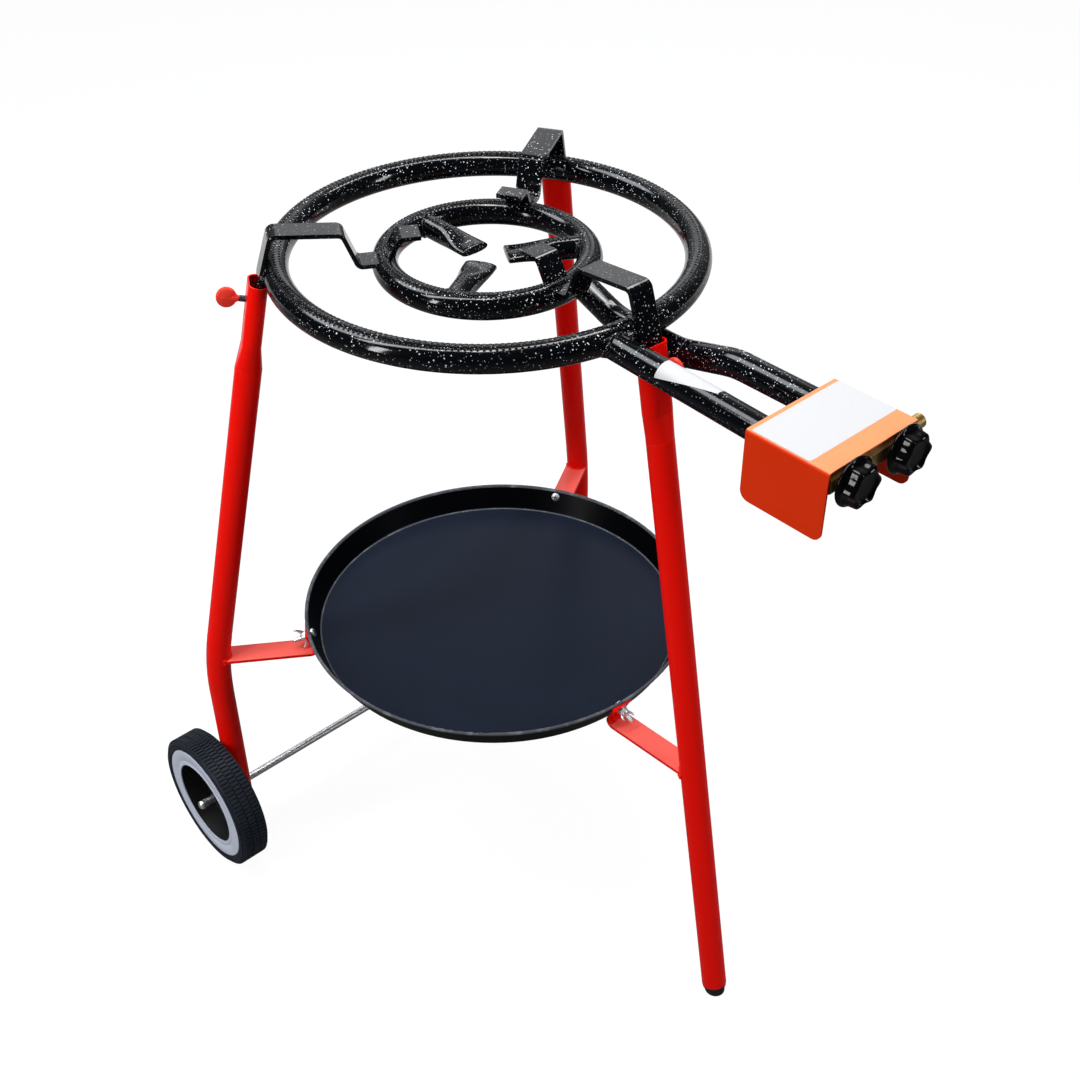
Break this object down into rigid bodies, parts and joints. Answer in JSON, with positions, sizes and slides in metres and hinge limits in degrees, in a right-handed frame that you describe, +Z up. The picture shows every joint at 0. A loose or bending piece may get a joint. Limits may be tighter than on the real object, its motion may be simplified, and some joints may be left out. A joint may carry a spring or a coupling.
{
  "type": "propane burner stand",
  "caption": "Two-ring propane burner with pan supports and twin taps on a splayed three-leg stand with two wheels and a round ember tray.",
  "frame": {"origin": "on the floor under the middle of the whole stand's footprint", "axes": "+X to the right when facing the knobs, +Y from the knobs towards the wheels, +Z up"},
  "size_m": [0.6246, 0.6754, 0.7401],
  "materials": {
    "black_enamel": "gloss vitreous enamel with fine white specks",
    "orange_paint": "gloss powder coat",
    "brass": "machined, slightly dulled",
    "knob_plastic": "polished phenolic",
    "red_paint": "gloss powder coat",
    "foot_rubber": "moulded rubber",
    "screw_red": "moulded red grip",
    "tray_black": "satin black coating",
    "zinc": "bright zinc plate",
    "tyre_rubber": "ribbed tyre rubber",
    "trim_white": "pale satin ring",
    "hub_plastic": "black moulded plastic"
  },
  "bodies": {
    "stand": {"outer_ring": "black_enamel", "inner_ring": "black_enamel", "spoke_back": "black_enamel", "spoke_left": "black_enamel", "spoke_right": "black_enamel", "outer_support_front": "black_enamel", "outer_support_left": "black_enamel", "outer_support_right": "black_enamel", "inner_support_front": "black_enamel", "inner_support_left": "black_enamel", "inner_support_right": "black_enamel", "outer_feed_pipe": "black_enamel", "inner_feed_pipe": "black_enamel", "valve_cover": "orange_paint", "manifold": "brass", "gas_inlet": "brass", "valve_left": "brass", "valve_right": "brass", "leg_front": "red_paint", "leg_left": "red_paint", "leg_right": "red_paint", "tray_arm_front": "red_paint", "tray_arm_left": "red_paint", "tray_arm_right": "red_paint", "foot_plug": "foot_rubber", "tray": "tray_black", "tray_screws": "zinc", "tray_washers": "zinc", "axle": "zinc", "axle_cap_left": "zinc", "axle_cap_right": "zinc"},
    "wheel_left": {"tyre_left": "tyre_rubber", "trim_ring_left": "trim_white", "hub_left": "hub_plastic"},
    "wheel_right": {"tyre_right": "tyre_rubber", "trim_ring_right": "trim_white", "hub_right": "hub_plastic"},
    "push_left": {"spindle_left": "brass"},
    "push_right": {"spindle_right": "brass"},
    "dial_left": {"knob_left": "knob_plastic"},
    "dial_right": {"knob_right": "knob_plastic"},
    "clamp_front": {"thumb_screw_front": "screw_red"},
    "clamp_left": {"thumb_screw_left": "screw_red"},
    "clamp_right": {"thumb_screw_right": "screw_red"},
    "nut_front": {"wing_nut_front": "zinc"},
    "nut_left": {"wing_nut_left": "zinc"},
    "nut_right": {"wing_nut_right": "zinc"}
  },
  "joints": [
    {"name": "wheel_left_spin", "type": "hinge", "parent": "stand", "child": "wheel_left", "pos_m": [-0.2895, 0.25965, 0.078], "axis": [1, 0, 0], "continuous": true},
    {"name": "knob_left_push", "type": "slide", "parent": "stand", "child": "push_left", "axis": [0, 1, 0], "range_m": [0, 0.003], "stiffness_N_per_m": 600, "springref_m": -0.001},
    {"name": "knob_left_turn", "type": "hinge", "parent": "push_left", "child": "dial_left", "pos_m": [-0.02925, -0.33035, 0.69], "axis": [0, -1, 0], "range_deg": [0, 180]},
    {"name": "wheel_right_spin", "type": "hinge", "parent": "stand", "child": "wheel_right", "pos_m": [0.2895, 0.25965, 0.078], "axis": [1, 0, 0], "continuous": true},
    {"name": "knob_right_push", "type": "slide", "parent": "stand", "child": "push_right", "axis": [0, 1, 0], "range_m": [0, 0.003], "stiffness_N_per_m": 600, "springref_m": -0.001},
    {"name": "knob_right_turn", "type": "hinge", "parent": "push_right", "child": "dial_right", "pos_m": [0.03075, -0.33035, 0.69], "axis": [0, -1, 0], "range_deg": [0, 180]},
    {"name": "thumb_screw_front_turn", "type": "hinge", "parent": "stand", "child": "clamp_front", "pos_m": [-0.00068, -0.10998, 0.6782], "axis": [0.0068, -0.9763, 0.2163], "continuous": true},
    {"name": "thumb_screw_left_turn", "type": "hinge", "parent": "stand", "child": "clamp_left", "pos_m": [-0.1902, 0.21946, 0.67819], "axis": [-0.8455, 0.4881, 0.2164], "continuous": true},
    {"name": "thumb_screw_right_turn", "type": "hinge", "parent": "stand", "child": "clamp_right", "pos_m": [0.1902, 0.21946, 0.67819], "axis": [0.8455, 0.4881, 0.2164], "continuous": true},
    {"name": "wing_nut_front_turn", "type": "hinge", "parent": "stand", "child": "nut_front", "pos_m": [-0.01576, -0.09696, 0.28468], "axis": [0.0444, -0.9085, -0.4154], "continuous": true},
    {"name": "wing_nut_left_turn", "type": "hinge", "parent": "stand", "child": "nut_left", "pos_m": [-0.18223, 0.20722, 0.28468], "axis": [-0.7505, 0.5139, -0.4154], "continuous": true},
    {"name": "wing_nut_right_turn", "type": "hinge", "parent": "stand", "child": "nut_right", "pos_m": [0.18011, 0.21091, 0.28468], "axis": [0.7748, 0.4766, -0.4154], "continuous": true}
  ]
}
